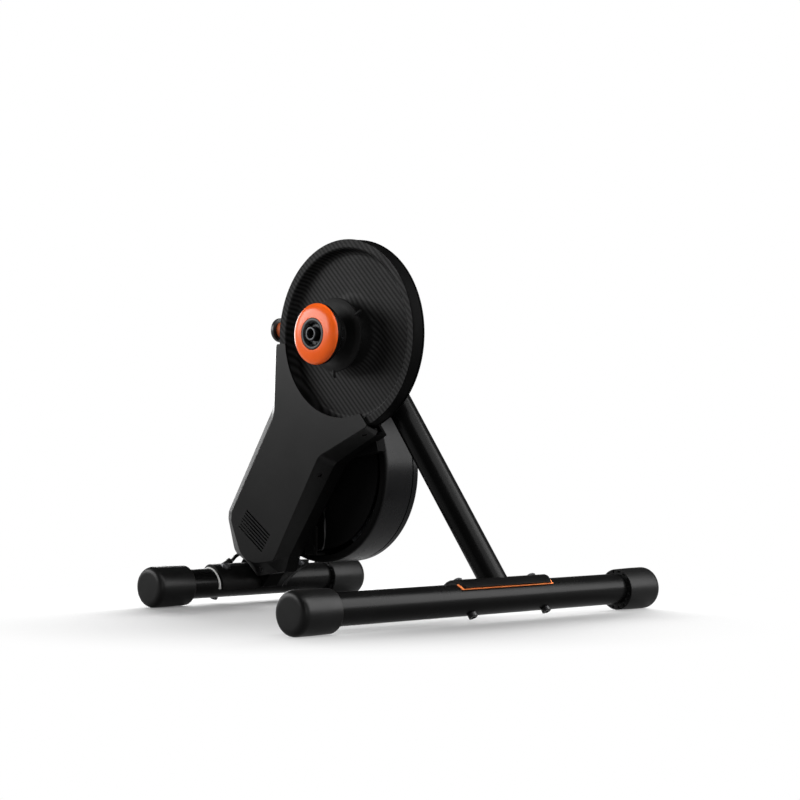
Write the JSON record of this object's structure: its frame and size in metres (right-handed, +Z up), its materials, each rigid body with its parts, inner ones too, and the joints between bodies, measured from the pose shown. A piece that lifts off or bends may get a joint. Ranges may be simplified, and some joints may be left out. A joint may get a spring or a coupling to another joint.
{
  "type": "direct drive bike trainer",
  "caption": "Direct drive indoor bike trainer on two cross legs, with a belt-driven flywheel, a large pulley disc and a single-cog freehub on a fixed hollow axle.",
  "frame": {"origin": "on the floor, under the middle of the whole trainer's bounding box", "axes": "+X towards the front leg, which is the bike's forward direction; +Y away from the drive side, along the axle and the legs; +Z up"},
  "size_m": [0.4888, 0.63, 0.472],
  "materials": {
    "cover_plastic": "fine moulded texture, black",
    "disc_composite": "satin black twill weave",
    "belt_rubber": "ribbed, matt black",
    "machined_steel": "turned and ground",
    "dark_aluminium": "dark anodised",
    "guard_plastic": "satin black moulding",
    "orange_plastic": "glossy orange moulding",
    "flywheel_iron": "turned rim, satin dark grey coat",
    "core_steel": "laminated sheet",
    "coil_copper": "enamelled copper winding",
    "frame_casting": "cast, black powder coat",
    "tube_paint": "satin black powder coat",
    "saddle_paint": "matt black powder coat",
    "orange_trim": "soft orange gasket",
    "pale_trim": "pale grey gasket",
    "fastener_steel": "black oxide",
    "foot_rubber": "firm matt black rubber",
    "grip_rubber": "soft matt black grip",
    "board_laminate": "green circuit board",
    "bracket_paint": "black",
    "lead_rubber": "black cable jacket"
  },
  "bodies": {
    "stand": {"frame": "frame_casting", "cover": "cover_plastic", "cover_screw_1": "fastener_steel", "cover_screw_2": "fastener_steel", "cover_screw_3": "fastener_steel", "cover_screw_4": "fastener_steel", "cover_screw_5": "fastener_steel", "belt": "belt_rubber", "hub_bearing": "machined_steel", "main_axle": "machined_steel", "axle_end_cap": "dark_aluminium", "flywheel_bearing_1": "machined_steel", "flywheel_bearing_2": "machined_steel", "strut": "tube_paint", "front_leg": "tube_paint", "rear_leg": "tube_paint", "front_saddle": "saddle_paint", "front_trim": "orange_trim", "front_bolt_1": "fastener_steel", "front_nut_1": "fastener_steel", "front_bolt_2": "fastener_steel", "front_nut_2": "fastener_steel", "rear_saddle": "saddle_paint", "rear_trim": "pale_trim", "rear_bolt_1": "fastener_steel", "rear_nut_1": "fastener_steel", "rear_bolt_2": "fastener_steel", "rear_nut_2": "fastener_steel", "handle_bar": "machined_steel", "handle_grip": "grip_rubber", "handle_ring": "orange_plastic", "handle_cap": "guard_plastic", "brake_carrier": "dark_aluminium", "brake_core": "core_steel", "brake_coil_1": "coil_copper", "brake_coil_2": "coil_copper", "brake_coil_3": "coil_copper", "brake_coil_4": "coil_copper", "idler_pin": "machined_steel", "control_board": "board_laminate", "sensor_bracket": "bracket_paint", "coil_lead": "lead_rubber", "power_lead": "lead_rubber", "power_jack": "guard_plastic"},
    "flywheel_rotor": {"flywheel": "flywheel_iron", "flywheel_shaft": "machined_steel", "pinion": "machined_steel"},
    "pulley": {"pulley_disc": "disc_composite"},
    "freehub": {"freehub_body": "dark_aluminium", "cog": "machined_steel", "front_guard": "guard_plastic", "orange_cap": "orange_plastic", "lockring": "dark_aluminium", "rear_guard": "guard_plastic"},
    "idler": {"idler_roller": "guard_plastic"},
    "foot_front_left": {"front_foot_left": "foot_rubber"},
    "foot_front_right": {"front_foot_right": "foot_rubber"},
    "foot_rear_left": {"rear_foot_left": "foot_rubber"},
    "foot_rear_right": {"rear_foot_right": "foot_rubber"}
  },
  "joints": [
    {"name": "flywheel_spin", "type": "hinge", "parent": "stand", "child": "flywheel_rotor", "pos_m": [-0.12015, 0.084, 0.176], "axis": [0, 1, 0], "continuous": true},
    {"name": "pulley_spin", "type": "hinge", "parent": "stand", "child": "pulley", "pos_m": [-0.01415, 0.005, 0.35], "axis": [0, 1, 0], "continuous": true},
    {"name": "freehub_coast", "type": "hinge", "parent": "pulley", "child": "freehub", "pos_m": [-0.01415, -0.035, 0.35], "axis": [0, 1, 0], "continuous": true},
    {"name": "idler_spin", "type": "hinge", "parent": "stand", "child": "idler", "pos_m": [-0.08315, 0.005, 0.189], "axis": [0, 1, 0], "continuous": true},
    {"name": "front_left_levelling", "type": "hinge", "parent": "stand", "child": "foot_front_left", "pos_m": [0.21785, -0.285, 0.0275], "axis": [0, 1, 0], "range_deg": [-180, 180]},
    {"name": "front_right_levelling", "type": "hinge", "parent": "stand", "child": "foot_front_right", "pos_m": [0.21785, 0.285, 0.0275], "axis": [0, 1, 0], "range_deg": [-180, 180]},
    {"name": "rear_left_levelling", "type": "hinge", "parent": "stand", "child": "foot_rear_left", "pos_m": [-0.21715, -0.128, 0.0275], "axis": [0, 1, 0], "range_deg": [-180, 180]},
    {"name": "rear_right_levelling", "type": "hinge", "parent": "stand", "child": "foot_rear_right", "pos_m": [-0.21715, 0.181, 0.0275], "axis": [0, 1, 0], "range_deg": [-180, 180]}
  ],
  "couplings": [
    {"joint": "pulley_spin", "follows": "flywheel_spin", "ratio": 0.14799},
    {"joint": "idler_spin", "follows": "flywheel_spin", "ratio": -1.0994}
  ]
}
